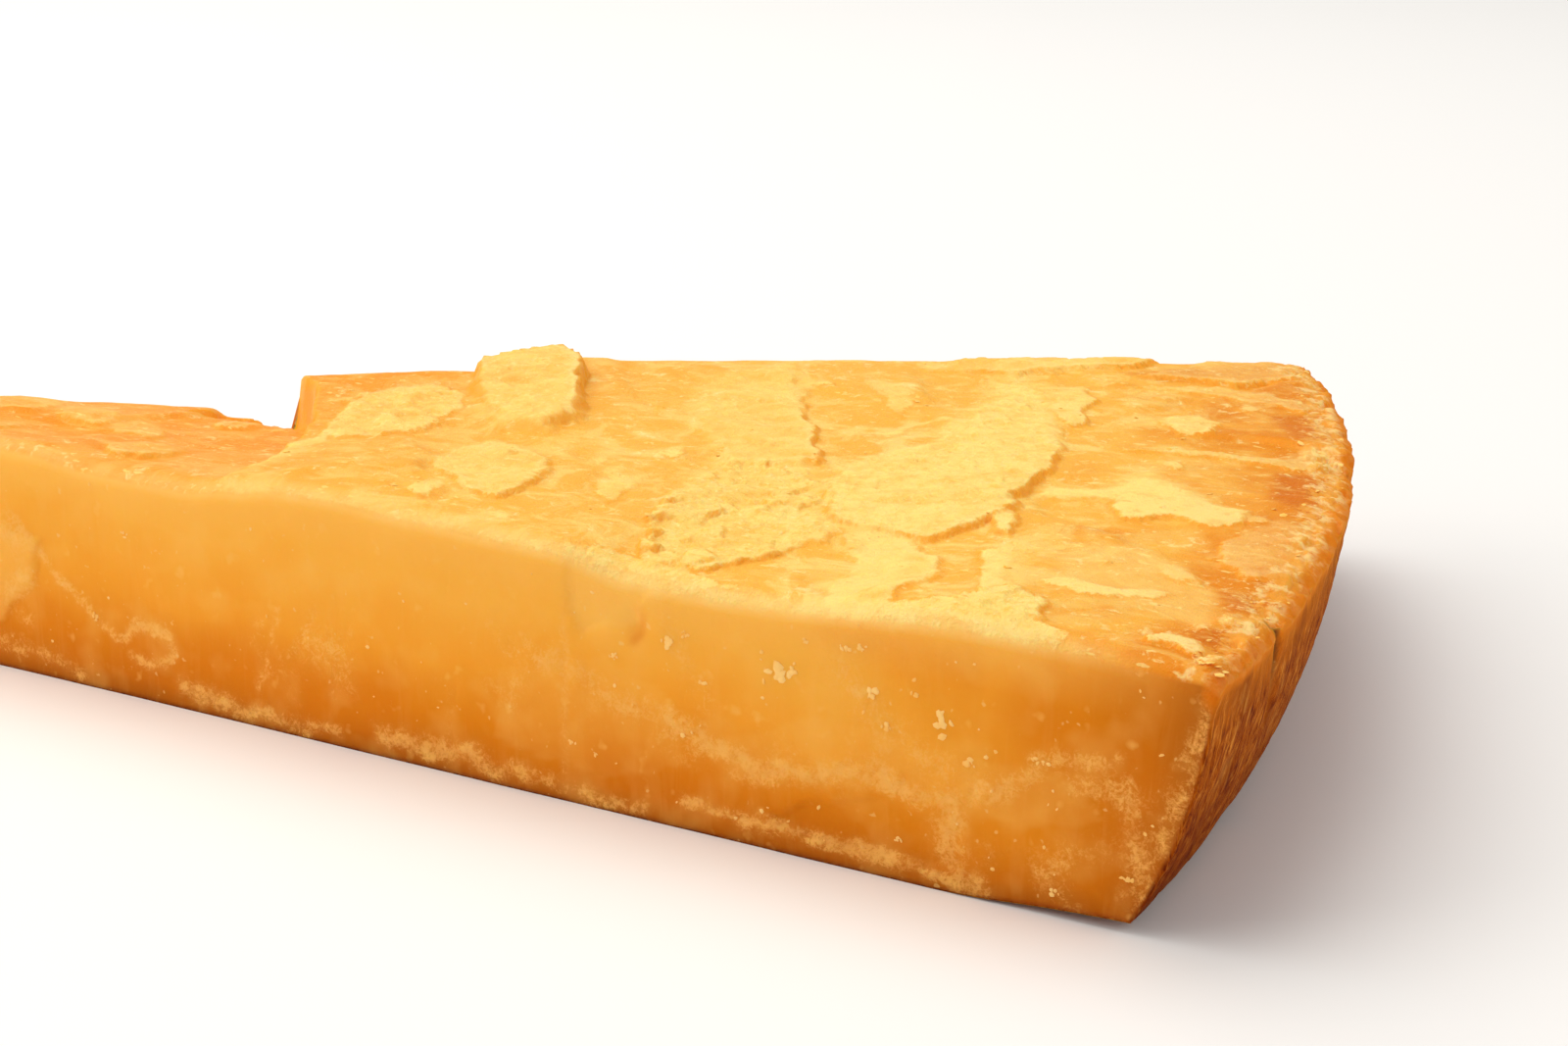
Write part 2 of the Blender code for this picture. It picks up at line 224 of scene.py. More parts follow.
flakes = {
    "backHollow": raised(-1.7, 0.0, 0.1, 0, 0.0, [
        (74, 38), (88, 41), (104, 52), (112, 64), (108, 68), (94, 60), (80, 50)]),
    "yellowPatch": raised(0.45, 0.75, 0.8, -60, 0.3, [
        (108, 20.5), (102, 31), (99.5, 39.5), (103.5, 47), (109, 45), (113, 40), (116, 31.5), (113, 23.5)]),
    "crag": raised(2.7, 0.7, 0.7, 80, 0.7, [
        (112, 43), (105, 54), (106, 64), (116, 60), (122, 51.5), (128, 40), (128, 35), (122, 34.5)]),
    "stepLip": raised(0.25, 0.7, 0.3, 180, 0.7, [
        (107.3, 7.5), (111.4, 5), (111.3, 10.3), (110.4, 18), (111.4, 19.5), (107.4, 21.5), (107.5, 14.6)]),
    "oval": raised(0.52, 0.6, 0.6, -45, 0.4, [
        (127, 15.5), (123.5, 24), (125, 29), (131, 28.6), (136.3, 24.6), (140.7, 15.5), (140, 9),
        (133.7, 10.6)]),
    "smallSquare": raised(0.5, 1.3, 0.2, -45, 0.4, [
        (131.4, 5.2), (130, 9), (132.2, 10.2), (135.3, 5.4), (134, 4)]),
    "threeCornerSlab": raised(0.68, 0.5, 0.4, 15, 0.9, [
        (131, 60), (130, 68), (135, 79), (144, 64), (152, 52), (160, 41), (151, 35), (141, 46)]),
    "granularSlab": raised(0.49, 0.85, 1.0, -100, 0.7, [
        (161, 2), (155, 14), (148, 38), (158, 41), (166, 33), (171, 25), (173, 17), (170, 10), (167, 3)]),
    "bigSlab": raised(0.68, 1.0, 0.6, -25, 0.8, [
        (172, 22), (165, 32), (163, 43), (166, 54), (162, 75), (160, 87), (165, 86), (172, 73), (180, 58),
        (183, 46), (185, 34), (182, 21)]),
    "sliver": raised(0.52, 0.8, 0.2, 0, 0.5, [
        (168, 80), (169, 86), (173, 81), (178, 69), (176, 67), (173, 71)]),
    "feather": raised(0.34, 0.85, 0.2, 0, 0.5, [
        (171, 24), (178, 14), (179, 6), (181, 0), (187, -1), (187, 8), (189, 10), (185, 17), (180, 21),
        (174, 23)]),
    "crumbBlock": raised(0.6, 0.8, 0.4, -90, 0.3, [
        (184, 31), (184, 35), (187, 29), (188, 25), (186, 26)]),
    "crumbRing": raised(0.38, 1.4, 0.3, -160, 0.8, [
        (188, 20), (190, 24), (194, 15), (196, 12), (194, 8), (191, 13)]),
    "crumbLumps": raised(0.45, 1.3, 0.9, -90, 0.2, [
        (193, 5), (196, 12), (200, 8), (202, 3), (198, 1)]),
    "streak": raised(0.3, 1.4, 0.3, -80, 0.4, [
        (197, 14), (199, 17), (204, 17), (209, 19), (208, 16), (203, 13)]),
    "raggedFlake": raised(0.45, 1.4, 0.2, -80, 0.7, [
        (185, 41), (185, 45), (190, 47), (189, 51), (191, 54), (199, 48), (206, 45), (207, 41), (204, 39),
        (199, 41), (196, 37), (193, 39), (192, 43)]),
    "backChip": raised(0.34, 1.1, 0.4, -60, 0.4, [
        (183, 74.5), (184.2, 78), (187, 80.5), (190.6, 78), (191.4, 72.6), (188, 70), (185, 73)]),
    "rimLine": raised(0.3, 0.7, 0.5, -80, 0.5, [
        (185, 60), (192, 66), (200, 67), (201, 73), (205, 74), (206, 68), (203, 64), (194, 64)]),
    "backBand": raised(0.3, 0.5, 0.4, -80, 0.4, [
        (174, 88), (184, 95), (191, 92), (198, 91), (197, 87), (191, 88), (184, 90)]),
    "thinShell": raised(0.3, 0.45, 0.2, -90, 0.5, [
        (208, 31), (207, 37), (209, 44), (215, 41), (216, 34), (217, 28), (212, 25)]),
    "curl": raised(0.45, 1.5, 0.1, -100, 0.4, [
        (210, 5), (212, 8), (215, 8), (219, 4), (218, 2), (214, 5)]),
    "leftFringe": raised(0.22, 0.8, 1.0, 90, 0.2, [
        (153, 0.6), (157, 3), (162, 4), (167, 2.5), (172, 1.5), (175, 0.6), (168, 0.3), (160, 0.3)]),
    "rightFringe": raised(0.26, 1.2, 1.0, 90, 0.2, [
        (185, 0.6), (188, 3), (194, 4.5), (200, 4), (204, 2), (206, 0.5), (197, 0.2)]),
    "rimClump": raised(0.4, 1.5, 0.8, -60, 0.4, [
        (201.8, 71), (202.4, 73.4), (205, 73), (206.4, 67.7), (205, 65), (203.2, 67)]),
    "rimPatch": raised(0.35, 1.5, 0.8, -80, 0.4, [
        (214, 15.6), (216.4, 16.2), (218.6, 15.8), (218.8, 13.7), (217, 13.8), (215, 13.8)]),
    "paleOval": raised(0.35, 1.6, 0.1, -80, 0.4, [
        (217.2, 10.9), (218.2, 11.2), (219.4, 9.6), (219.5, 8.2), (218.4, 9)]),
    "cornerPatch": raised(0.35, 1.5, 1.0, -80, 0.4, [
        (216.2, 3.6), (216.6, 5.8), (218, 5.7), (219.4, 3.5), (219, 2), (217.4, 2)]),
    "cornerFleck": raised(0.25, 1.4, 0.4, -80, 0.4, [
        (214, 10.5), (213.8, 12.6), (214.9, 12.4), (215, 11)]),
    "leftSmear": raised(0.15, 0.6, 0.4, -80, 0.6, [
        (143.4, 20.6), (141.4, 28.4), (141.6, 31), (147.5, 23), (149.5, 14.6)]),
    "middleSmear": raised(0.15, 0.9, 0.3, -80, 0.4, [
        (142.6, 35.6), (143.4, 39.4), (145.4, 35)]),
    "backSmear": raised(0.15, 0.7, 0.4, -80, 0.6, [
        (149.6, 73), (152.3, 75), (156.7, 68.5), (157.8, 62), (153.5, 67)]),
    "lineSmear": raised(0.12, 0.7, 0.3, -80, 0.6, [
        (158, 53.6), (159.6, 61), (158.6, 65), (161.2, 55)]),
    "farSlab": raised(0.68, 0.35, 0.4, 20, 0.4, [
        (150, 84), (152, 91), (168, 102), (172, 104), (170, 97), (160, 87)]),
    "farCrag": raised(0.68, 0.35, 0.4, -30, 0.3, [
        (174, 95), (178, 107), (190, 113), (192, 104), (186, 96)]),
}

# amber and milky zones of the top: an outline in (x, y) and a strength
topZones = {
    "deep": (
        ([(193.3, 84.5), (198.8, 87.6), (203, 77), (200.4, 74)], 0.8),
        ([(202.4, 62), (206.9, 64.5), (212.7, 46), (206, 50.5)], 1.0),
        ([(213.5, 9.6), (214.5, 12), (216.6, 12), (218.5, 7.7), (217, 6.9), (214.7, 7.9)], 1.0),
        ([(211.7, 22), (216.2, 22.7), (217.5, 18.3), (214.2, 17.3)], 0.9),
        ([(212.6, 28.6), (215.7, 30.4), (216, 27), (213.7, 24.7)], 0.6),
        ([(170.6, 94.8), (173, 99), (177, 103), (181.5, 98), (177, 92.4)], 0.5),
    ),
    "milky": (
        ([(194.8, 22.9), (196.7, 28.2), (201.5, 28.8), (211.2, 21.4), (214.9, 11.1), (206.9, 13.3),
          (200.1, 13.8)], 1.5),
    ),
}

rimCrumble = 1.7              # how far the grains stand out along the rim

tipFlakes = {
    "seed": 5,
    "count": 12,
    "reach": (26.0, 98.0),
    "length": (9.0, 22.0),
    "slim": (0.35, 0.6),
    "turn": (80.0, 150.0),
    "rise": (0.3, 0.8),
    "pale": 0.3,
    "corners": 10,
}


def ruledFlakes():
    # smaller flakes over the part nearer the point
    draw = random.Random(tipFlakes["seed"])
    near, far = tipFlakes["reach"]
    made = []
    for n in range(tipFlakes["count"]):
        reach = near + (far - near) * (n + draw.random()) / tipFlakes["count"]
        angle = wedge["angle"] * draw.uniform(0.2, 0.85)
        length = draw.uniform(*tipFlakes["length"])
        width = length * draw.uniform(*tipFlakes["slim"])
        turn = math.radians(draw.uniform(*tipFlakes["turn"]))
        rise = draw.uniform(*tipFlakes["rise"])
        outline = []
        for corner in range(tipFlakes["corners"]):
            way = 2 * math.pi * corner / tipFlakes["corners"]
            ahead, left = math.cos(way) * length / 2, math.sin(way) * width / 2
            outline.append(turned(polar(reach, angle), ahead, left, turn))
        made.append(raised(rise, tipFlakes["pale"], 0.4, -60, 0.7, outline))
    return made


chips = {
    "seed": 3,
    "count": 75,
    "from": 95.0,
    "length": (1.5, 6.5),
    "slim": (0.3, 0.8),
    "rise": (0.12, 0.35),
    "pale": (0.4, 1.0),
    "corners": 7,
}


def smallChips():
    draw = random.Random(chips["seed"])
    made = []
    for _ in range(chips["count"]):
        reach = math.sqrt(draw.uniform(chips["from"] ** 2, (wedge["radius"] - 4.0) ** 2))
        angle = wedge["angle"] * draw.uniform(0.03, 0.95)
        length = chips["length"][0] + (chips["length"][1] - chips["length"][0]) * draw.random() ** 2
        turn = draw.gauss(0.35, 0.7)
        slim = draw.uniform(*chips["slim"])
        outline = []
        for corner in range(chips["corners"]):
            way = 2 * math.pi * (corner + draw.uniform(-0.3, 0.3)) / chips["corners"]
            size = length / 2 * draw.uniform(0.6, 1.1)
            ahead, left = size * math.cos(way), size * slim * math.sin(way)
            outline.append(turned(polar(reach, angle), ahead, left, turn))
        rise, pale = draw.uniform(*chips["rise"]), draw.uniform(*chips["pale"])
        made.append(raised(rise, pale, 0.3, draw.uniform(-120, 30), draw.uniform(0.2, 1.0), outline))
    return made


def flakeRelief(x, y):
    # height the flakes add, distance inside the nearest one with the width of its edge,
    # how pale it is and how high its edge stands
    raggedX = x + waves(x, y, 0 * x, flakeLook["ragged"], "flakeX")
    raggedY = y + waves(x, y, 0 * x, flakeLook["ragged"], "flakeY")
    grain = np.zeros(len(x))
    for size, pull in zip(flakeLook["grainSizes"], flakeLook["grainPull"]):
        middleX, middleY, border, own = grains(x, y, size)
        raggedX += pull * (middleX - x)
        raggedY += pull * (middleY - y)
        grain += flakeLook["grain"] * size / 2 * own
        grain -= flakeLook["crevice"] * size / 2 * np.exp(-((border / (0.22 * size)) ** 2))
    fold = waves(x, y, 0 * x, flakeLook["fold"], "fold")
    height = 0.6 * fold
    nearest = np.full(len(x), -9.0)
    edge = np.ones(len(x))
    pale = np.zeros(len(x))
    gritty = np.zeros(len(x))
    edgeRise = np.zeros(len(x))
    for flake in smallChips() + ruledFlakes() + list(flakes.values()):
        outline = flake["outline"]
        inside = np.full(len(x), -9.0)
        near = nearOutline(x, y, outline, flakeLook["fadeEdge"])
        inside[near] = insideBy(raggedX[near], raggedY[near], outline)
        middle = np.mean(outline, 0)
        way = math.radians(flake["proud"])
        along = (np.array(outline) - middle) @ (math.cos(way), math.sin(way))
        reach = ((x - middle[0]) * math.cos(way) + (y - middle[1]) * math.sin(way)) / along.max()
        proud = 1.0 - flake["lean"] * (0.5 - 0.5 * np.clip(reach, -1.0, 1.0))
        ownEdge = flakeLook["edge"] + flakeLook["fadeEdge"] * smooth((0.85 - proud) / 0.6)
        cover = smooth(inside / ownEdge + 0.5)
        height = height * (1.0 - flakeLook["overlap"] * cover)
        height += cover * (flake["rise"] * proud + flake["grain"] * grain)
        closer = (inside / ownEdge > nearest / edge) & (flake["pale"] > 0)
        nearest = np.where(closer, inside, nearest)
        edge = np.where(closer, ownEdge, edge)
        pale = np.where(closer, flake["pale"], pale)
        gritty = np.where(closer, flake["grain"], gritty)
        edgeRise = np.where(closer, np.clip(flake["rise"] * (1.6 * proud - 0.6), 0.0, 1.0), edgeRise)
    looks = {"flake": nearest, "flakeEdge": edge, "pale": pale, "gritty": gritty,
             "edgeRise": edgeRise, "grain": grain}
    return height, looks


def facetRelief(x, y):
    draw = random.Random(facets["seed"])
    sites = []
    for n in range(facets["count"]):
        reach = wedge["radius"] * math.sqrt((n + draw.random()) / facets["count"])
        angle = wedge["angle"] * draw.random()
        tilts = [draw.uniform(-facets["tilt"], facets["tilt"]) for _ in range(2)]
        step = draw.uniform(-facets["step"], facets["step"])
        sites.append((*polar(reach, angle), *tilts, step))
    sites = np.array(sites)
    wavyX = x + waves(x, y, 0 * x, facets["waves"], "facetX")
    wavyY = y + waves(x, y, 0 * x, facets["waves"], "facetY")
    away = np.hypot(wavyX[:, None] - sites[:, 0], wavyY[:, None] - sites[:, 1])
    share = np.exp((away.min(1)[:, None] - away) / facets["blend"])
    share /= share.sum(1)[:, None]
    planes = (x[:, None] - sites[:, 0]) * sites[:, 2] + (y[:, None] - sites[:, 1]) * sites[:, 3] + sites[:, 4]
    return (share * planes).sum(1)


def frontHeight(x):
    places, heights = np.array(frontEdge["profile"]).T
    n = np.clip(np.searchsorted(places, x) - 1, 0, len(places) - 2)
    share = (x - places[n]) / (places[n + 1] - places[n])
    return heights[n] + (heights[n + 1] - heights[n]) * smooth(share)


def toBack(x, y):
    return x * math.sin(wedge["angle"]) - y * math.cos(wedge["angle"])


def topRelief(x, y):
    # height of the top, with the looks of its flakes
    ragged = waves(x, y, 0 * x, flakeLook["ragged"], "step")
    low = smooth((slabStep["front"] - slabStep["bend"] * y**2 - x + ragged) / slabStep["width"] + 0.5)
    height = wedge["thickness"] + frontHeight(x) * np.exp(-((y / frontEdge["depth"]) ** 2))
    height -= low * slabStep["slope"] * y
    flaky, looks = flakeRelief(x, y)
    atRim = 1.0 - smooth((wedge["radius"] - np.hypot(x, y) - 1.5) / 4.0)
    flaky += rimCrumble * atRim * (looks["grain"] - 0.15)
    height += (facetRelief(x, y) + flaky) * smooth(y / frontEdge["calm"])
    for distance in (y, toBack(x, y), wedge["radius"] - np.hypot(x, y)):
        drop = 1.0 - np.clip(distance / wedge["edgeWidth"], 0.0, 1.0)
        height -= wedge["edgeDrop"] * drop**2
    return height, looks


# the cut front, the wheel's side and the broken ends

walls = {
    "frontWaves": ((0.55, 42.0), (0.22, 11.0), (0.05, 3.0)),
    "frontInset": 0.25,
    "edgeRound": 0.7,
    "backWaves": ((1.0, 36.0), (0.5, 12.0), (0.3, 3.5), (0.12, 1.4)),
    "tipWaves": ((3.2, 11.0), (1.2, 4.5), (0.4, 1.8)),
    "rindWaves": ((0.35, 9.0), (0.2, 2.6), (0.1, 1.0)),
    "fade": 5.0,
    "rindCalm": 14.0,
    "zoneWaves": ((0.8, 3.0), (0.3, 1.1)),      # raggedness of the zones below
    "bloomWaves": ((0.20, 1.3), (0.12, 0.6)),
    "knifeDepth": 0.10,
    "knifePale": 1.8,         # width of a knife line's paleness, in widths of the line
}

# powdery bloom on the front: a line of (x, z) places, its width and its strength
bloomLines = (
    ([(150, 15), (156, 13.5), (162, 11.5), (168, 9.5)], 1.6, 0.7),
    ([(166, 11), (171, 9), (175, 7.8), (178.5, 8), (182, 9), (187.3, 9.6), (191.7, 8.6)], 1.3, 1.0),
    ([(191.7, 8.6), (195, 8.4), (198.3, 10.1), (200.8, 11.2), (203, 12.6)], 1.3, 0.9),
    ([(173, 6.5), (177, 8), (181, 8.4)], 1.1, 0.7),
    ([(168, 2.6), (173, 2.4), (178.5, 2.7), (182, 2.2), (186.5, 2.2), (191, 1.9), (199, 1.0)], 0.8, 1.1),
    ([(195.6, 9), (195, 6), (195.6, 3.5), (197, 1)], 1.7, 1.0),
    ([(203, 14), (207, 15), (211, 15.5)], 1.0, 0.7),
    ([(184, 19), (188, 15), (192, 12.5), (197, 11)], 2.2, 0.5),
    ([(208, 12.8), (211.5, 13.4), (213, 10.4), (213.4, 8), (214.4, 4)], 1.3, 0.75),
    ([(219, 24), (218.5, 20), (217, 15), (215.5, 10), (213, 4)], 1.5, 0.55),
    ([(82, 18), (85, 15), (88, 12), (93, 8.4), (96, 6.5)], 0.7, 0.9),
    ([(97, 6.4), (99, 8.4), (103, 8), (104, 5.6), (101, 4), (98, 4.6)], 0.8, 0.9),
    ([(105, 2.6), (110, 1.6), (117, 1.8), (121, 1.0)], 1.1, 1.0),
    ([(122, 2.0), (126, 1.4)], 0.7, 0.8),
    ([(132, 2.6), (137, 2.2), (143, 2.8), (146, 1.4)], 1.2, 1.0),
    ([(147, 2.2), (152, 1.8), (157, 0.9), (163, 1.4)], 0.9, 0.7),
    ([(165, 22), (167, 18), (170, 13)], 1.5, 0.45),
    ([(146, 17), (149, 13), (148, 9)], 1.4, 0.45),
    ([(116, 12), (115, 9), (117, 6)], 1.0, 0.4),
    ([(76, 15), (82, 16), (84, 12), (81, 8)], 1.4, 0.8),
    ([(76, 3.5), (84, 2.6), (90, 1.6)], 1.3, 0.6),
)
# fainter patches scattered over its lower half
bloomPatches = {"waves": ((1.0, 14.0), (0.7, 5.0)), "from": 0.18, "strength": 1.1, "upTo": 17.0}

# shallow shapes of the front: an outline in (x, z), and how far it stands out
frontScales = (
    ([(70, 17), (80, 17), (86, 15.5), (84, 10.5), (80, 6), (70, 4)], 0.45),
    ([(177, 3.4), (182, 6.6), (190, 7.4), (196, 5.6), (197, 3), (189, 2), (181, 2.2)], -0.45),
    ([(154, 27), (154.6, 21), (156, 17.5), (160, 19), (164, 23), (166, 27)], -0.3),
)
# facets of the front that look milky: an outline in (x, z) and a strength; the one by the crease at x 154-172
# is painted light, paler as a facet turned up to the lamps
milkyAndLitFacets = (
    ([(70, 17), (80, 17), (86, 15.5), (84, 10.5), (80, 6), (70, 4)], 0.6),
    ([(154, 28), (154.6, 21), (156, 17.5), (160, 19), (164, 22), (172, 28)], 0.75),
    ([(172, 6), (172, 10), (182, 14), (196, 13), (206, 14), (210, 10), (203, 8), (184, 8)], 0.25),
    ([(146, 5), (146, 12), (158, 16), (166, 13), (168, 7), (158, 3)], 0.25),
)
# deeper amber zones of the front, as the bloom's lines; the one in the crease by the dimple and the one under
# the top edge at x 183-197 are painted shade
amberAndShadeZones = (
    ([(162.4, 20.8), (162.0, 18.2)], 0.8, 0.5),
    ([(183, 23), (190, 22.5), (197, 22)], 2.2, 0.3),
    ([(203, 18), (210, 16), (214, 14)], 3.4, 0.3),
    ([(214, 13), (213, 6)], 2.4, 0.3),
    ([(98, 5), (112, 7), (124, 6), (132, 7)], 3.0, 0.4),
    ([(159, 5), (166, 4), (170, 5)], 2.6, 0.35),
    ([(86, 8), (90, 5)], 2.5, 0.3),
)
# lines the knife left: (x, z) places, a width and how pale they are
knifeLines = (
    ([(118.5, 13.4), (117.4, 9.6), (115.7, 4.2)], 0.35, 0.55),
    ([(123.7, 14.3), (120.5, 8.6)], 0.4, 0.5),
    ([(127.8, 13.3), (126.2, 9.0), (125.5, 5.1)], 0.3, 0.4),
    ([(141.0, 9.8), (139.9, 1.9)], 0.3, 0.3),
    ([(154.2, 23.5), (154.1, 3.1)], 0.35, 0.4),
)
dimple = {"place": (162.2, 19.3), "width": 1.2, "depth": 0.5}
crack = {"path": [(17.0, 27.0), (17.4, 22.5), (19.2, 18.0), (21.5, 14.0)], "width": 0.8, "depth": 0.8}


def sideRadius(z):
    depth = np.clip(1.0 - z / wedge["thickness"], 0.0, 1.0)
    return wedge["radius"] - wedge["sideLean"] * depth - wedge["sideCurl"] * depth**3


def frontRelief(x, z):
    # how far the front stands out of its plane, with the looks of its zones
    stands = -waves(x, 0 * x, z, walls["frontWaves"], "front")
    ragX = x + waves(x, 0 * x, z, walls["zoneWaves"], "dent")
    ragZ = z + waves(x, 0 * x, z, walls["zoneWaves"], "grain")
    for outline, height in frontScales:
        stands += height * smooth(insideBy(ragX, ragZ, outline) + 0.5)
    bloom = np.zeros(len(x))
    for path, width, paleness in knifeLines:
        stands -= walls["knifeDepth"] * lineNearness(x, z, path, width)
        line = lineNearness(ragX, z, path, walls["knifePale"] * width)
        bloom = np.maximum(bloom, paleness * line)
    away = np.hypot(x - dimple["place"][0], z - dimple["place"][1])
    stands -= dimple["depth"] * np.exp(-((away / dimple["width"]) ** 2))
    bloom = np.maximum(bloom, strongest(ragX, ragZ, bloomLines))
    patches = waves(x, 0 * x, z, bloomPatches["waves"], "rind") - bloomPatches["from"]
    patches *= bloomPatches["strength"] * smooth((bloomPatches["upTo"] - z) / 8.0)
    bloom = np.maximum(bloom, np.clip(patches, 0.0, 0.7))
    crumbly = waves(x, 0 * x, z, walls["bloomWaves"], "grain")
    milky = np.zeros(len(x))
    for outline, strength in milkyAndLitFacets:
        milky = np.maximum(milky, strength * smooth(insideBy(ragX, ragZ, outline) / 0.5 + 0.5))
    looks = {"bloom": bloom, "milky": milky, "deep": strongest(ragX, ragZ, amberAndShadeZones)}
    return stands + bloom * (0.08 + crumbly), looks


def skinPoints(s, t, w):
    # s runs from the point to the rind, t from front to back, w from the floor to the top
    angle = t * wedge["angle"]
    reach = reachAt(s)
    top, looks = topRelief(reach * np.cos(angle), reach * np.sin(angle))
    rise = smooth((reach - wedge["shoulderStart"]) / (wedge["radius"] - wedge["shoulderStart"]))
    floorZ = rise * wedge["shoulderRise"]
    z = floorZ + w * (top - floorZ)
    broken = waves(0 * z, wedge["tipRadius"] * angle, z, walls["tipWaves"], "tip") * (1.0 - s) ** 3
    radius = wedge["tipRadius"] + broken + s * (sideRadius(z) - wedge["tipRadius"])
    arc = wedge["radius"] * angle
    skin = np.exp(-((wedge["radius"] - reach) / 1.5) ** 2)
    pits = np.abs(waves(0 * z, arc, z, walls["rindWaves"], "rind"))
    gap = lineNearness(arc, z, crack["path"], crack["width"])
    radius = radius - skin * (pits * smooth((28.0 - z) / 4.0) + crack["depth"] * gap)
    x, y = radius * np.cos(angle), radius * np.sin(angle)
    fromFront, fromBack = y, toBack(x, y)
    frontFade = np.exp(-((fromFront / walls["fade"]) ** 2))
    stands, frontLooks = frontRelief(x, z)
    back = np.abs(waves(x, 0 * x, z, walls["backWaves"], "back"))
    back = back * np.exp(-((fromBack / walls["fade"]) ** 2))
    back = back * smooth((wedge["radius"] - radius) / walls["rindCalm"])
    onFloor = smooth(z / 0.8)
    stands = stands * (0.3 + 0.7 * smooth((top - z) / 2.5)) * (0.25 + 0.75 * onFloor)
    rounding = walls["edgeRound"] * np.exp(-(((top - z) / walls["edgeRound"]) ** 2))
    stands = (stands - walls["frontInset"] - rounding) * frontFade
    x = x + back * math.sin(wedge["angle"])
    y = y - stands - back * math.cos(wedge["angle"])
    for name, values in frontLooks.items():
        looks[name] = values * (fromFront < 0.5)
    for name, zones in topZones.items():
        for outline, strength in zones:
            near = (top - z < 0.5) & nearOutline(x, y, outline, 3.0)
            zone = strength * smooth(insideBy(x[near], y[near], outline) / 2.0 + 0.5)
            looks[name][near] = np.maximum(looks[name][near], zone)
    looks["sideDepth"] = np.maximum(sideRadius(z) - np.hypot(x, y), 0.0)
    looks["floorDepth"] = np.maximum(z - floorZ, 0.0)
    looks["belowTop"] = top - z
    looks["frontDepth"] = fromFront
    looks["crack"] = gap * skin * smooth((z - 14.0) / 7.0)
    return np.stack([x, y, z], 1), looks


# the skin is one closed mesh, made of rows that share their end points

chunkMesh = {
    # rings of the top: (reach, distance between rings and along them from there on)
    "topSpacing": ((0.0, 1.1, 1.5), (70.0, 0.46, 0.85), (140.0, 0.30, 0.64)),
    "frontSpacing": 0.42,
    "wallRows": 48,
    "sideSpacing": 0.62,
    "backSpacing": 1.3,
    "floorSpacing": 5.0,
    "leastCells": 4,
}


def spacingAt(reach):
    for start, between, along in reversed(chunkMesh["topSpacing"]):
        if reach >= start:
            return between, along


def gradedShares(least):
    # shares of the way from point to rind, no closer than the spacing there
    reach = wedge["tipRadius"]
    places = [reach]
    while reach + spacingAt(reach)[0] < wedge["radius"]:
        reach += max(least, spacingAt(reach)[0])
        places.append(reach)
    places = np.array(places) - wedge["tipRadius"]
    return places / places[-1]


def evenShares(count):
    return np.linspace(0.0, 1.0, count + 1)


class Skin:
    # rows of places (s, t, w) and the triangles between them; the points come at the end
    def __init__(self):
        self.places = []
        self.count = 0
        self.triangles = []

    def add(self, s, t, w):
        row = np.stack([np.ravel(v) for v in np.broadcast_arrays(s, t, w)], 1)
        self.places.append(row)
        self.count += len(row)
        return list(range(self.count - len(row), self.count))

    def strip(self, rowA, rowB, atA, atB, flip):
        # triangles between two rows whose points lie at the given shares of the way
        a = b = 0
        lastA, lastB = len(rowA) - 1, len(rowB) - 1
        while a < lastA or b < lastB:
            aheadA = atA[a + 1] if a < lastA else math.inf
            aheadB = atB[b + 1] if b < lastB else math.inf
            if aheadA <= aheadB:
                face = (rowA[a], rowA[a + 1], rowB[b])
                a += 1
            else:
                face = (rowA[a], rowB[b + 1], rowB[b])
                b += 1
            self.triangles.append(face[::-1] if flip else face)

    def wall(self, topRow, topAt, endA, endB, fixed, at, flip):
        # fixed is the place's s or t that stays the same along the wall
        above, aboveAt = topRow, topAt
        for n in range(chunkMesh["wallRows"] - 1, -1, -1):
            w = n / chunkMesh["wallRows"]
            middle = self.add(fixed.get("s", at[1:-1]), fixed.get("t", at[1:-1]), w)
            row = [endA[n]] + middle + [endB[n]]
            self.strip(above, row, aboveAt, at, flip)
            above, aboveAt = row, at
        return above


def chunkSkin():
    skin = Skin()
    ringAt = gradedShares(0.0)
    rows, rowsAt = [], []
    for s in ringAt:
        reach = reachAt(s)
        cells = max(chunkMesh["leastCells"], round(reach * wedge["angle"] / spacingAt(reach)[1]))
        rows.append(skin.add(s, evenShares(cells), 1.0))
        rowsAt.append(evenShares(cells))
    for n in range(len(ringAt) - 1):
        skin.strip(rows[n], rows[n + 1], rowsAt[n], rowsAt[n + 1], True)
    heights = evenShares(chunkMesh["wallRows"])[:-1]
    corners = {}
    for s in (0, 1):
        for t in (0, 1):
            corners[s, t] = skin.add(s, t, heights) + [rows[-s][-t]]
    span = wedge["radius"] - wedge["tipRadius"]
    frontAt = gradedShares(chunkMesh["frontSpacing"])
    backAt = evenShares(round(span / chunkMesh["backSpacing"]))
    sideAt = evenShares(round(wedge["radius"] * wedge["angle"] / chunkMesh["sideSpacing"]))
    front = skin.wall([row[0] for row in rows], ringAt, corners[0, 0], corners[1, 0],
                      {"t": 0.0}, frontAt, True)
    back = skin.wall([row[-1] for row in rows], ringAt, corners[0, 1], corners[1, 1],
                     {"t": 1.0}, backAt, False)
    side = skin.wall(rows[-1], rowsAt[-1], corners[1, 0], corners[1, 1], {"s": 1.0}, sideAt, True)
    tip = skin.wall(rows[0], rowsAt[0], corners[0, 0], corners[0, 1], {"s": 0.0}, rowsAt[0], False)
    floorFace(skin, front, frontAt, back, backAt, tip, rowsAt[0], side, sideAt)
    return skin


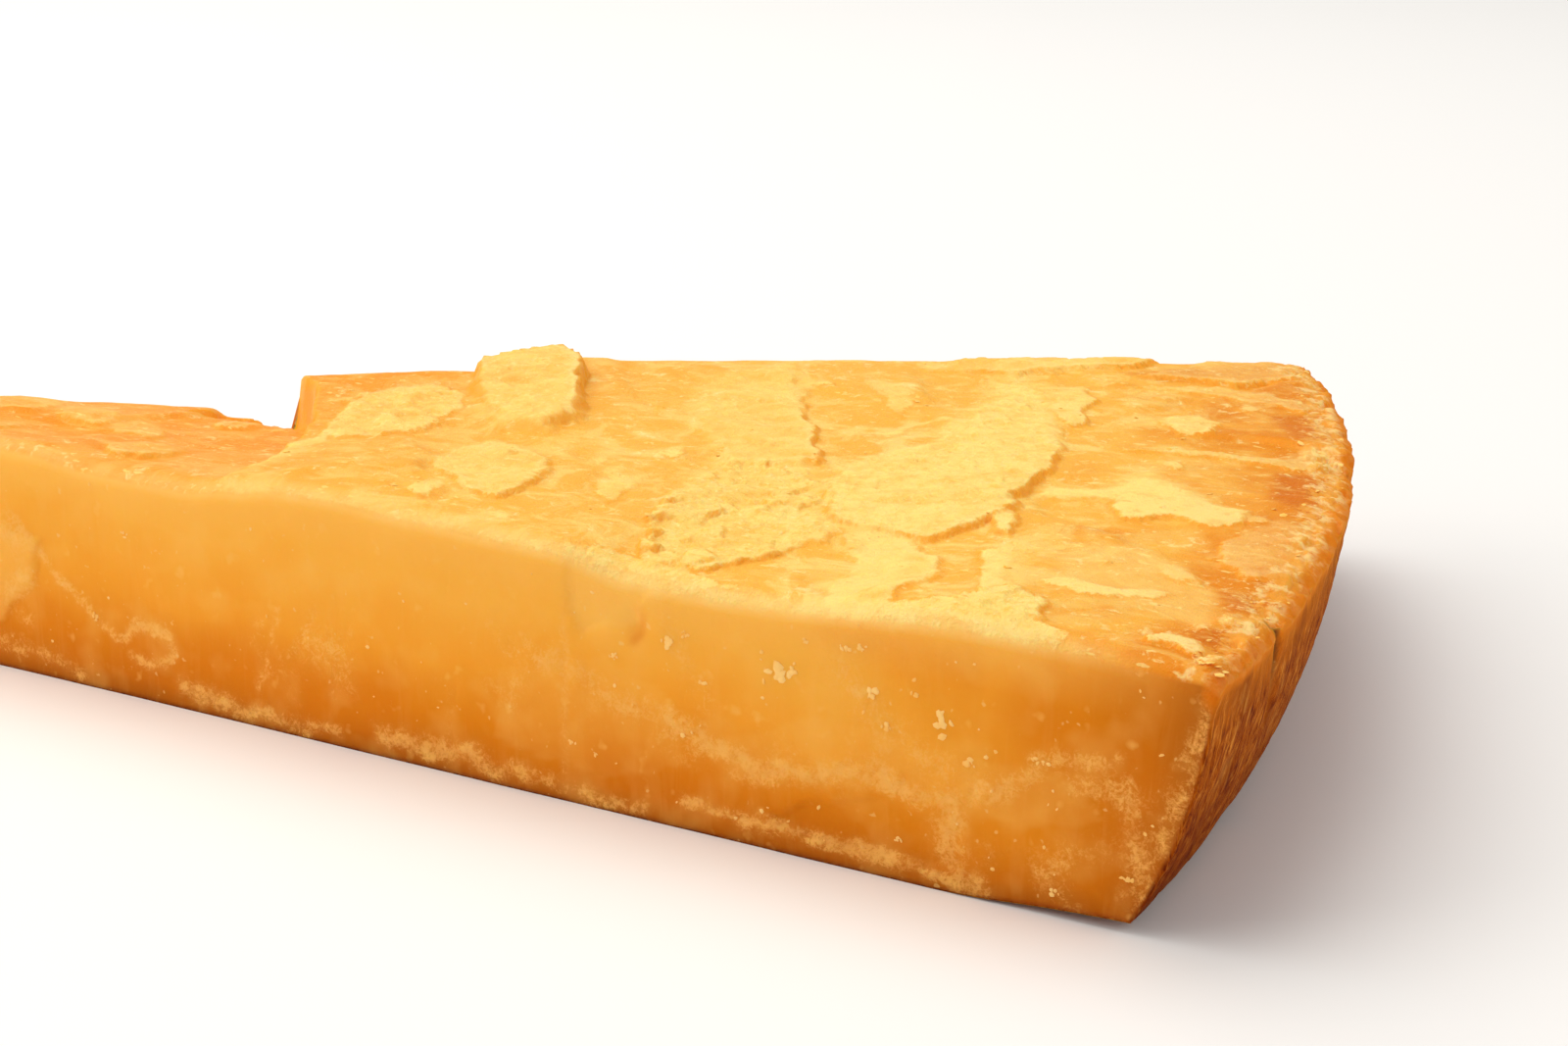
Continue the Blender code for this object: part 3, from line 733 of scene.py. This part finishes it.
def floorFace(skin, front, frontAt, back, backAt, tip, tipAt, side, sideAt):
    # a coarse grid, joined to the finer rows of the four walls round it
    span = wedge["radius"] - wedge["tipRadius"]
    rings = round(span / chunkMesh["floorSpacing"])
    inner, innerAt = [], []
    for n in range(1, rings):
        s = n / rings
        cells = max(3, round(reachAt(s) * wedge["angle"] / chunkMesh["floorSpacing"]))
        at = evenShares(cells)[1:-1]
        inner.append(skin.add(s, at, 0.0))
        innerAt.append(at)
    for n in range(len(inner) - 1):
        skin.strip(inner[n], inner[n + 1], innerAt[n], innerAt[n + 1], False)
    skin.strip(tip, inner[0], tipAt, innerAt[0], False)
    skin.strip(inner[-1], side, innerAt[-1], sideAt, False)
    innerS = np.arange(1, rings) / rings
    skin.strip([row[0] for row in inner], front, innerS, frontAt, False)
    skin.strip(back, [row[-1] for row in inner], backAt, innerS, False)


def newPiece(name, points, triangles, material):
    # from places in millimetres, kept inside the solid's box
    points = np.array(points) * mm + np.array(wheelCentre)
    points = np.clip(points, np.array(cadBox[0]), np.array(cadBox[1]))
    mesh = bpy.data.meshes.new(name)
    mesh.from_pydata(points.tolist(), [], triangles)
    mesh.materials.append(material)
    piece = bpy.data.objects.new(name, mesh)
    bpy.context.scene.collection.objects.link(piece)
    return piece


def makeChunk(material):
    skin = chunkSkin()
    points, looks = skinPoints(*np.concatenate(skin.places).T)
    chunk = newPiece("cheeseWedge", points, skin.triangles, material)
    mesh = chunk.data
    normals = np.empty(len(points) * 3, np.float32)
    mesh.vertices.foreach_get("normal", normals)
    looks["steep"] = 1.0 - normals[2::3]
    for name, values in looks.items():
        mesh.attributes.new(name, "FLOAT", "POINT").data.foreach_set("value", values.astype(np.float32))
    mesh.shade_smooth()
    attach(chunk, "root")
    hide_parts("parmesan_chunk")
    print("wedge:", len(mesh.vertices), "points,", len(mesh.polygons), "triangles")


# shader maths

def srgb(red, green, blue):
    # a colour as a paint program shows it, 0 to 255, as the linear one a shader takes
    return tuple((c / 255 / 12.92) if c <= 10 else ((c / 255 + 0.055) / 1.055) ** 2.4
                 for c in (red, green, blue)) + (1.0,)


class Wire:
    # one output of a node; plain maths on wires adds Math nodes
    def __init__(self, tree, socket=None):
        self.tree = tree
        self.socket = socket

    def node(self, kind, settings, inputs, output=0):
        made = self.tree.nodes.new(kind)
        for name, value in settings.items():
            if name == "stops":
                ramp = made.color_ramp
                while len(ramp.elements) < len(value):
                    ramp.elements.new(1.0)
                for element, (place, colour) in zip(ramp.elements, value):
                    element.position = place
                    element.color = colour
            else:
                setattr(made, name, value)
        for name, value in inputs.items():
            if isinstance(value, Wire):
                self.tree.links.new(value.socket, made.inputs[name])
            else:
                made.inputs[name].default_value = value
        return Wire(self.tree, made.outputs[output])

    def maths(self, operation, *terms, clamp=False):
        return self.node("ShaderNodeMath", dict(operation=operation, use_clamp=clamp), dict(enumerate(terms)))

    def __add__(self, other):
        return self.maths("ADD", self, other)

    def __sub__(self, other):
        return self.maths("SUBTRACT", self, other)

    def __mul__(self, other):
        return self.maths("MULTIPLY", self, other)

    def __truediv__(self, other):
        return self.maths("DIVIDE", self, other)

    def __rsub__(self, other):
        return self.maths("SUBTRACT", other, self)

    __radd__ = __add__
    __rmul__ = __mul__

    def least(self, other):
        return self.maths("MINIMUM", self, other)

    def most(self, other):
        return self.maths("MAXIMUM", self, other)

    def size(self):
        return self.maths("ABSOLUTE", self)

    def clamped(self):
        return self.maths("ADD", self, 0.0, clamp=True)

    def between(self, low, high):
        # 0 below low, 1 above high
        return ((self - low) * (1.0 / (high - low))).clamped()

    def fade(self, low, high):
        # 1 below low, 0 above high
        return 1.0 - self.between(low, high)

    def stretched(self, x, y, z):
        return self.node("ShaderNodeVectorMath", dict(operation="MULTIPLY"), {0: self, 1: (x, y, z)})

    def noise(self, scale, detail=3.0, roughness=0.55, distortion=0.0):
        return self.node("ShaderNodeTexNoise", dict(noise_dimensions="3D"), {
            "Vector": self, "Scale": scale, "Detail": detail, "Roughness": roughness,
            "Distortion": distortion,
        })

    def look(self, name):
        return self.node("ShaderNodeAttribute", dict(attribute_name=name), {}, "Fac")

    def mix(self, base, over):
        # self is the mask
        return self.node("ShaderNodeMix", dict(data_type="RGBA"), {0: self, 6: base, 7: over}, 2)

    def ramp(self, stops):
        return self.node("ShaderNodeValToRGB", dict(stops=stops), {0: self})


def newMaterial(name, settings):
    material = bpy.data.materials.new(name)
    material.use_nodes = True
    shader = material.node_tree.nodes["Principled BSDF"]
    for socket, value in settings.items():
        shader.inputs[socket].default_value = value
    root = Wire(material.node_tree)
    places = root.node("ShaderNodeTexCoord", {}, {}, "Object").stretched(1000, 1000, 1000)
    return material, shader, root, places


def feed(root, shader, socket, wire):
    root.tree.links.new(wire.socket, shader.inputs[socket])


waxSheen = 0.06               # specular level of the paste, the crumbs and the crystals

pasteLook = {
    "shader": {
        "Subsurface Weight": 0.35,
        "Subsurface Radius": (1.0, 0.40, 0.10),
        "Subsurface Scale": 0.003,
        "IOR": 1.45,
        "Specular IOR Level": waxSheen,
    },
    # colour of the clean paste by how far under the skin it is, 1 at the given depth in mm; darker towards
    # the rind, the floor and the side, partly the paste's real amber and partly painted shade, and the
    # wheel's side darkens deeper than its flat faces
    "fullDepth": 20.0,
    "sideShare": 0.5,
    "paste": [
        (0.00, srgb(150, 66, 4)),
        (0.03, srgb(182, 96, 8)),
        (0.12, srgb(208, 114, 10)),
        (0.30, srgb(227, 134, 18)),
        (0.60, srgb(244, 160, 44)),
        (1.00, srgb(251, 177, 66)),
    ],
    "topPaste": srgb(254, 182, 68),
    "topByRind": srgb(234, 140, 28),
    "farPaste": srgb(248, 152, 34),
    "flake": srgb(255, 220, 124),
    "flakeAtRind": srgb(255, 212, 130),
    "smear": srgb(255, 214, 118),
    "pit": srgb(254, 190, 72),
    "grit": srgb(255, 230, 150),
    "rimCrumb": srgb(255, 214, 138),
    "rimPaste": srgb(242, 164, 60),
    "bloom": srgb(253, 188, 96),
    "glowEdge": srgb(255, 190, 88),
    # painted highlight along the front's rounded top edge
    "crest": srgb(255, 218, 134),
    # painted shade: the warm shadow line at a flake's foot and on steep walls
    "underEdge": srgb(252, 166, 48),
    "milky": srgb(255, 194, 96),
    "deep": srgb(216, 112, 8),
    "speck": srgb(250, 200, 116),
}

rindLook = {
    "scratches": [(0.39, srgb(104, 30, 0)), (0.53, srgb(182, 88, 6)), (0.68, srgb(230, 152, 60))],
    "dark": srgb(104, 30, 0),
    "crack": srgb(60, 42, 22),
    "rim": srgb(224, 120, 16),
}


def painted(colour, layers):
    # layers laid over a colour in turn: a mask, and a colour or its name in pasteLook
    for mask, over in layers:
        colour = mask.mix(colour, pasteLook[over] if isinstance(over, str) else over)
    return colour


def pasteMaterial():
    material, shader, root, places = newMaterial("cheesePaste", pasteLook["shader"])
    broad = places.noise(0.07, 2.0)
    blotch = places.noise(0.42, 4.0, 0.6, 0.4)
    speckle = places.noise(1.5, 3.0, 0.65)
    fine = places.noise(4.5, 2.0, 0.6)
    film = places.stretched(1.0, 1.0, 0.16).noise(0.55, 3.0, 0.62, 0.6)
    smudge = places.stretched(0.45, 1.0, 1.0).noise(0.42, 4.0, 0.65, 0.7)
    scratch = places.stretched(1.6, 1.6, 0.24).noise(0.95, 5.0, 0.74, 0.7)
    eastward = places.node("ShaderNodeSeparateXYZ", {}, {0: places}, 0)
    nearer = eastward.between(-20.0, 50.0)
    sideDepth, floorDepth, frontDepth = [root.look(name + "Depth") for name in ("side", "floor", "front")]
    below = root.look("belowTop")
    onTop = below.fade(0.05, 0.5)
    onWall = 1.0 - onTop

    # clean paste: amber by the rind, golden within, its darkening partly painted shade
    skinDepth = (sideDepth * pasteLook["sideShare"]).least(floorDepth)
    wavyDepth = skinDepth * (0.5 + 1.0 * broad) / pasteLook["fullDepth"]
    inner = sideDepth + (places.noise(0.11, 2.0, 0.5, 0.6) - 0.5) * 44.0 + (smudge - 0.5) * 3.0
    far = eastward.fade(-30.0, 15.0) * onTop * (0.6 + broad)
    deep = root.look("deep")
    clouds = places.noise(0.15, 5.0, 0.66, 0.9).between(0.47, 0.6) * onTop * sideDepth.between(8.0, 30.0)
    colour = painted(wavyDepth.clamped().ramp(pasteLook["paste"]), [
        (onTop * 0.9, "topByRind"),
        (inner.between(5.0, 24.0) * onTop, "topPaste"),
        (far.clamped(), "farPaste"),
        # milky zones, one of them the front's painted light on an upturned facet
        ((root.look("milky") * (0.25 + 0.6 * blotch)).clamped(), "milky"),
        # deep amber zones, among them the front's painted shade in a crease and under its top edge
        ((deep * (0.5 + 0.8 * broad)).clamped(), "deep"),
        (places.noise(0.19, 2.0, 0.55).between(0.5, 0.72) * onWall * 0.22, "milky"),
        (film.between(0.52, 0.78) * onWall * 0.12, "bloom"),
        (smudge.between(0.52, 0.72) * onTop * 0.45, "smear"),
        (clouds * (0.25 + 0.65 * nearer) * (1.0 - 0.8 * deep), "smear"),
        (places.noise(0.5, 4.0, 0.7, 0.6).between(0.58, 0.68) * onTop * 0.65, "grit"),
    ])

    # powdery bloom and small specks on the cut face, and the light through its upper edge
    bloom = root.look("bloom")
    dust = places.noise(2.3, 4.0, 0.75, 0.8)
    web = 1.0 - (places.noise(0.75, 4.0, 0.62, 0.7) - 0.5).size() * 9.0
    lace = (bloom * 0.34 + dust + blotch * 0.6 + web.clamped() * 0.2).between(1.02, 1.28)
    haze = bloom.between(0.0, 1.2) * (0.1 + 1.0 * blotch)
    bloomMask = (lace * bloom.between(0.05, 0.5) * (0.1 + 0.8 * blotch) + haze * 0.32).clamped()
    colour = painted(colour, [
        (bloomMask, "bloom"),
        (places.noise(0.42, 2.0, 0.5).between(0.64, 0.76) * onWall * 0.4, "milky"),
        (places.noise(1.15, 1.0).between(0.73, 0.79) * onWall * 0.5, "speck"),
        (below.fade(0.0, 5.0) * onWall * sideDepth.between(0.5, 16.0) * 0.6, "glowEdge"),
    ])

    # flakes: paler inside a ragged outline, with painted shade as a deep yellow line along the foot of a
    # proud edge and on steep walls
    flake = root.look("flake") + (blotch - 0.5) * 1.4 + (speckle - 0.5) * 1.4 + (fine - 0.5) * 0.6
    edge, edgeRise, gritty = root.look("flakeEdge"), root.look("edgeRise"), root.look("gritty")
    cover = ((flake - 0.22 - 0.12 * edgeRise) / edge * 1.6 + 0.5).clamped()
    uneven = places.noise(0.24, 3.0, 0.6, 0.5)
    # paleness follows the grains' height, so the lower grains and crevices stay orange as painted shade
    pale = root.look("pale") * (-0.6 + 1.3 * blotch + 1.5 * uneven + 0.8 * root.look("grain"))
    flakeMask = cover * pale.clamped() * onTop
    flakeColour = sideDepth.between(2.0, 22.0).mix(pasteLook["flakeAtRind"], pasteLook["flake"])
    footShadow = flake.between(-0.7, -0.1) * flake.fade(0.35, 0.6) * (0.3 + 0.7 * edgeRise)
    # a painted highlight along a flake's proud edge, in the grit colour
    thinEdgeHighlight = flake.between(0.1, 0.45) * flake.fade(0.6, 1.5) * edgeRise * onTop
    grainy = gritty * cover * onTop
    flecks = places.stretched(0.5, 1.0, 1.0).noise(1.0, 2.0, 0.6).between(0.66, 0.70)
    # steep walls of the top get painted warm shade
    steep = (root.look("steep") + (fine - 0.5) * 0.1).between(0.02, 0.16)
    colour = painted(colour, [
        (footShadow * edge.fade(0.6, 2.0) * onTop * 0.85, "underEdge"),
        (flakeMask, flakeColour),
        (thinEdgeHighlight * 0.6, "grit"),
        (places.noise(0.95, 3.0, 0.62, 0.5).between(0.50, 0.64) * grainy * 0.6, "pit"),
        (places.noise(1.3, 3.0, 0.6).between(0.60, 0.68) * grainy * 0.7, "grit"),
        (flecks * onTop * 0.7, flakeColour),
        (steep * onTop * frontDepth.between(1.5, 3.5) * 0.8, "underEdge"),
    ])

    # a painted highlight as a pale crest along the front's rounded top edge, and the crumbly rim where the
    # rind breaks off
    crest = below.fade(0.0, 1.1) * frontDepth.fade(0.4, 2.0)
    crest = crest * (0.15 + 1.3 * blotch) * sideDepth.between(6.0, 20.0)
    nearRim = sideDepth.fade(2.0, 7.0) + (speckle - 0.5) * 1.8 + (blotch - 0.5) * 2.2
    clumps = places.noise(0.55, 3.0, 0.6, 0.4).between(0.46, 0.58)
    lip = (sideDepth + (speckle - 0.5) * 1.2 + (blotch - 0.5) * 3.0).fade(0.7, 1.9)
    colour = painted(colour, [
        (crest * (0.35 + 0.4 * nearer), "crest"),
        (nearRim.between(0.45, 0.75) * onTop * 0.8, clumps.mix(pasteLook["rimPaste"], pasteLook["rimCrumb"])),
        (lip * below.fade(1.0, 2.2) * 0.85, rindLook["rim"]),
    ])

    # the rind itself, with pale scratches that run up and down it
    rim = (below + (blotch - 0.5) * 5.0).fade(1.0, 6.0) * (1.2 - scratch)
    # darker in blotches and towards the floor
    rindDarkening = places.stretched(1.0, 1.0, 0.5).noise(0.16, 3.0).between(0.48, 0.66) * 0.5
    rindDarkening = rindDarkening + 0.35 * floorDepth.fade(3.0, 15.0)
    rind = painted(scratch.ramp(rindLook["scratches"]), [
        ((rim * 0.9).clamped(), rindLook["rim"]),
        (rindDarkening, rindLook["dark"]),
    ])
    rindMask = (sideDepth.least(floorDepth * 3.0) + (fine - 0.5) * 0.15).fade(0.15, 0.55)
    rindMask = rindMask * (below + (speckle - 0.5) * 0.8).between(0.5, 1.4)
    crackMask = (root.look("crack") + (speckle - 0.5) * 0.5).between(0.25, 0.8) * 0.8
    colour = painted(colour, [(rindMask, rind), (crackMask, rindLook["crack"])])
    feed(root, shader, "Base Color", colour)

    rough = 0.42 + 0.2 * flakeMask + 0.18 * bloomMask + 0.4 * lip.most(rindMask) + (speckle - 0.5) * 0.12
    feed(root, shader, "Roughness", rough.clamped())

    crumbly = gritty * onTop * 0.6
    relief = (
        (fine - 0.5) * (0.08 + 0.14 * onTop + 0.2 * bloom)
        + (speckle - 0.5) * (0.14 + 0.2 * onTop + 0.3 * bloom + 0.7 * crumbly)
        + (blotch - 0.5) * (0.12 + crumbly * 0.6)
        + (film - 0.5) * 0.2
        + (smudge - 0.5) * onTop * 0.3
        + (scratch - 0.5) * rindMask * 1.2
    )
    bump = root.node("ShaderNodeBump", {}, {"Strength": 0.65, "Distance": 0.0006, "Height": relief})
    feed(root, shader, "Normal", bump)
    return material


# crumbs on the top and crystals in the cut face

crumbLook = {
    "seed": 21,
    "count": 140,
    "size": (0.25, 1.1),
    "flat": (0.18, 0.35),
    "sunk": 0.05,
    # shares that lie along the rim and round the flakes, and how far from a flake's edge
    "atRim": 0.3,
    "atFlakes": 0.55,
    "spread": 1.6,
    "clear": (0.8, 1.0, 0.8),    # least distance from the front, the back and the rim
    "rough": 0.6,
    "colour": srgb(255, 214, 124),
    "warm": srgb(255, 200, 96),
}
crystalLook = {
    "seed": 8,
    "count": 60,
    "size": (0.25, 0.6),
    "parts": 7,
    "rough": 0.5,
    "x": (72.0, 216.0),
    "z": (1.5, 24.0),
    "colour": srgb(255, 206, 122),
    "warm": srgb(252, 190, 96),
    # clusters that stand out: (x, z, size)
    "chosen": (
        (177.4, 17.4, 2.6), (179.4, 18.0, 1.4), (187.2, 17.5, 1.3), (188.7, 14.5, 1.1),
        (194.9, 16.1, 2.5), (197.0, 12.7, 1.2), (205.5, 2.4, 1.2), (165.7, 18.6, 1.3),
        (167.6, 19.6, 0.8), (98.0, 18.0, 0.9), (184.6, 21.4, 0.9), (186.1, 21.7, 0.9),
        (93.2, 8.2, 1.0), (169.5, 15.2, 0.7), (212.6, 5.2, 1.0), (191.5, 18.1, 0.8),
        (157.6, 5.6, 0.6), (180.6, 21.3, 0.8), (159.7, 16.0, 0.9), (204.0, 14.3, 1.1),
        (190.0, 3.8, 0.8), (154.9, 6.4, 0.7),
    ),
}


def lumps(name, spots, material):
    # many small uneven lumps in one mesh; a spot is a middle, half sizes and a turn
    shape = bmesh.new()
    bmesh.ops.create_icosphere(shape, subdivisions=1, radius=1.0)
    ball = np.array([corner.co[:] for corner in shape.verts])
    sides = [[corner.index for corner in face.verts] for face in shape.faces]
    shape.free()
    points, triangles = [], []
    for n, (middle, halves, turn) in enumerate(spots):
        uneven = [1.0 + 0.45 * noise.noise(Vector(point) * 1.3 + Vector((n, 0, 0)) * 3.7) for point in ball]
        lump = ball * np.array(uneven)[:, None] * halves
        lump = lump @ np.array(turn.to_matrix()).T + middle
        triangles += [[len(points) + corner for corner in side] for side in sides]
        points += lump.tolist()
    piece = newPiece(name, points, triangles, material)
    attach(piece, "root")
    print(name + ":", len(spots), "lumps")


def makeCrumbs(material):
    draw = random.Random(crumbLook["seed"])
    spots = []
    for _ in range(crumbLook["count"]):
        low, high = crumbLook["size"]
        size = low + (high - low) * draw.random() ** 2.2
        flat = size * draw.uniform(*crumbLook["flat"])
        kind = draw.random()
        if kind < crumbLook["atRim"]:
            # along the rim, thickest at the near corner
            angle = wedge["angle"] * draw.random() ** 1.6 * 0.97 + 0.012
            reach = wedge["radius"] - 1.0 - 4.0 * draw.random() ** 1.5
            x, y = polar(reach, angle)
        elif kind < crumbLook["atRim"] + crumbLook["atFlakes"]:
            # round the edges of the flakes
            outline = draw.choice([flake["outline"] for flake in flakes.values() if flake["pale"]])
            m = draw.randrange(len(outline))
            share = draw.random()
            a, b = outline[m], outline[(m + 1) % len(outline)]
            x = a[0] + (b[0] - a[0]) * share + draw.gauss(0.0, crumbLook["spread"])
            y = a[1] + (b[1] - a[1]) * share + draw.gauss(0.0, crumbLook["spread"])
        else:
            reach = wedge["radius"] * math.sqrt(draw.uniform(0.15, 0.97))
            angle = wedge["angle"] * draw.uniform(0.02, 0.97)
            x, y = polar(reach, angle)
        front, back, rim = crumbLook["clear"]
        if y < front or toBack(x, y) < back or math.hypot(x, y) > wedge["radius"] - rim:
            continue
        spots.append([x, y, size / 2, flat / 2, draw.uniform(0.6, 1.0), draw.uniform(0.0, math.pi)])
    at = np.array(spots)
    top = topRelief(at[:, 0], at[:, 1])[0]
    made = []
    for (x, y, half, flat, slim, turn), z in zip(spots, top):
        tilt = Euler((draw.gauss(0.0, 0.25), draw.gauss(0.0, 0.25), turn))
        made.append(((x, y, z + flat * crumbLook["sunk"]), (half, half * slim, flat), tilt))
    lumps("looseCrumbs", made, material)


def makeCrystals(material):
    draw = random.Random(crystalLook["seed"])
    spots = []
    for x, z, size in crystalLook["chosen"]:
        for _ in range(crystalLook["parts"]):
            part = size * draw.uniform(0.25, 0.6)
            spots.append((x + draw.gauss(0, size * 0.28), z + draw.gauss(0, size * 0.2), part))
    while len(spots) < crystalLook["parts"] * len(crystalLook["chosen"]) + crystalLook["count"]:
        x, z = draw.uniform(*crystalLook["x"]), draw.uniform(*crystalLook["z"])
        inPlace = x < sideRadius(z) - 1.5
        if inPlace and draw.random() < 0.25 + 0.75 * smooth((x - 150.0) / 40.0):
            spots.append((x, z, draw.uniform(*crystalLook["size"])))
    places = np.array(spots)
    stands = frontRelief(places[:, 0], places[:, 1])[0]
    made = []
    for (x, z, size), out in zip(spots, stands):
        sizes = (size / 2, 0.06 + size * 0.05, size / 2 * draw.uniform(0.5, 1.0))
        made.append(((x, walls["frontInset"] - out, z), sizes, Euler((0.0, draw.uniform(0.0, math.pi), 0.0))))
    lumps("cheeseCrystals", made, material)


def plainPaste(name, look):
    settings = {"Specular IOR Level": waxSheen, "Roughness": look["rough"]}
    material, shader, root, places = newMaterial(name, settings)
    mask = places.noise(0.5, 2.0).between(0.4, 0.6)
    feed(root, shader, "Base Color", mask.mix(look["colour"], look["warm"]))
    return material


# the floor, the light and the camera

studio = {
    "floorSize": 6.0,
    "floorLook": {"Roughness": 0.8, "Base Color": (0.93, 0.93, 0.93, 1.0)},
    "world": (1.0, 0.985, 0.96, 1.0),
    "worldStrength": 0.46,
    # name: (direction from the chunk, distance, size, power, colour)
    "lamps": {
        "windowLight": ((-0.45, 0.15, 0.88), 1.4, 1.4, 15.0, (1.0, 0.96, 0.90)),
        "sideFill": ((0.95, 0.15, 0.45), 1.5, 1.2, 4.0, (1.0, 0.96, 0.90)),
        "frontFill": ((-0.65, -0.65, 0.5), 0.7, 0.5, 1.6, (1.0, 0.95, 0.88)),
    },
}
cameraLook = {
    "place": (290.5, -196.0, 100.9),
    "heading": 29.78,
    "pitch": 16.95,
    "roll": 0.275,
    "lens": 60.75,
}


def makeFloor():
    bpy.ops.mesh.primitive_plane_add(size=studio["floorSize"])
    floor = bpy.context.object
    floor.name = "paleFloor"
    floor.data.materials.append(newMaterial("paleFloor", studio["floorLook"])[0])


def makeLight():
    world = bpy.data.worlds.new("studio")
    bpy.context.scene.world = world
    world.use_nodes = True
    background = world.node_tree.nodes["Background"]
    background.inputs["Color"].default_value = studio["world"]
    background.inputs["Strength"].default_value = studio["worldStrength"]
    for name, (direction, distance, size, power, colour) in studio["lamps"].items():
        lamp = bpy.data.lights.new(name, "AREA")
        lamp.size, lamp.energy, lamp.color = size, power, colour
        holder = bpy.data.objects.new(name, lamp)
        holder.location = Vector(direction).normalized() * distance
        holder.rotation_euler = Vector(direction).to_track_quat("Z", "Y").to_euler()
        bpy.context.scene.collection.objects.link(holder)


def makeCamera():
    camera = bpy.data.cameras.new("photoCamera")
    camera.lens = cameraLook["lens"]
    camera.clip_start = 0.01
    holder = bpy.data.objects.new("photoCamera", camera)
    turn = (
        Matrix.Rotation(math.radians(cameraLook["heading"]), 4, "Z")
        @ Matrix.Rotation(math.radians(90.0 - cameraLook["pitch"]), 4, "X")
        @ Matrix.Rotation(math.radians(cameraLook["roll"]), 4, "Z")
    )
    holder.matrix_world = Matrix.Translation(framePlace(*cameraLook["place"])) @ turn
    bpy.context.scene.collection.objects.link(holder)
    bpy.context.scene.camera = holder


makeChunk(pasteMaterial())
makeCrumbs(plainPaste("crumbs", crumbLook))
makeCrystals(plainPaste("crystals", crystalLook))
makeFloor()
makeLight()
makeCamera()
bpy.context.scene.view_settings.view_transform = "Standard"
print("floor, light and camera set")
